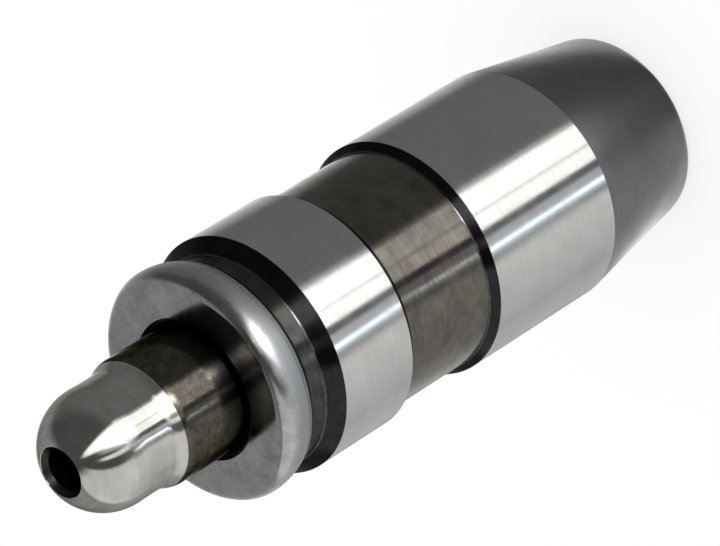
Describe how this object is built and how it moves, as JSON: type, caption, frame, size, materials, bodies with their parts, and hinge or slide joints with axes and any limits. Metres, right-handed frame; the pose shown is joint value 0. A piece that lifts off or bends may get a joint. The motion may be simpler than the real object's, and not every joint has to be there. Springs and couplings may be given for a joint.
{
  "type": "hydraulic valve lifter",
  "caption": "Hydraulic lash adjuster: grooved steel body with a tapered closed tail, a stamped retainer cap and a sprung hollow plunger with a ball nose and a check valve.",
  "frame": {"origin": "middle of the flat tail end of the body", "axes": "+Z along the lifter's axis from the tail to the ball nose; -Y towards the side that the picture shows, with the feed hole on the +Y side"},
  "size_m": [0.016, 0.016, 0.0515],
  "materials": {
    "lifter_body": "lands ground bright with fine rings, groove and tail taper left dark and satin from hardening",
    "retainer_cap": "satin zinc-grey stamped sheet with a mottled face and a soft bright rim",
    "upper_plunger": "ball nose and collar mirror polished, neck darker and satin, guided length ground",
    "lower_plunger": "ground outside, plain turned inside",
    "check_ball": "mirror polished bearing steel",
    "ball_cage": "satin pressed sheet steel",
    "check_ball_spring": "drawn spring wire",
    "plunger_return_spring": "oil tempered spring wire with ground ends"
  },
  "bodies": {
    "housing": {"lifter_body": "lifter_body", "retainer_cap": "retainer_cap", "plunger_return_spring": "plunger_return_spring"},
    "plunger": {"lower_plunger": "lower_plunger", "ball_cage": "ball_cage", "check_ball_spring": "check_ball_spring"},
    "nose": {"upper_plunger": "upper_plunger"},
    "ball": {"check_ball": "check_ball"}
  },
  "joints": [
    {"name": "plunger_slide", "type": "slide", "parent": "housing", "child": "plunger", "axis": [0, 0, 1], "range_m": [-0.0035, 0], "stiffness_N_per_m": 1500, "springref_m": 0.0004, "deforming": ["plunger_return_spring"]},
    {"name": "nose_turn", "type": "hinge", "parent": "plunger", "child": "nose", "pos_m": [0, 0, 0.02], "axis": [0, 0, 1], "continuous": true},
    {"name": "check_ball_lift", "type": "slide", "parent": "plunger", "child": "ball", "axis": [0, 0, 1], "range_m": [-0.0003, 0], "stiffness_N_per_m": 60, "springref_m": 0.0004, "deforming": ["check_ball_spring"]}
  ]
}
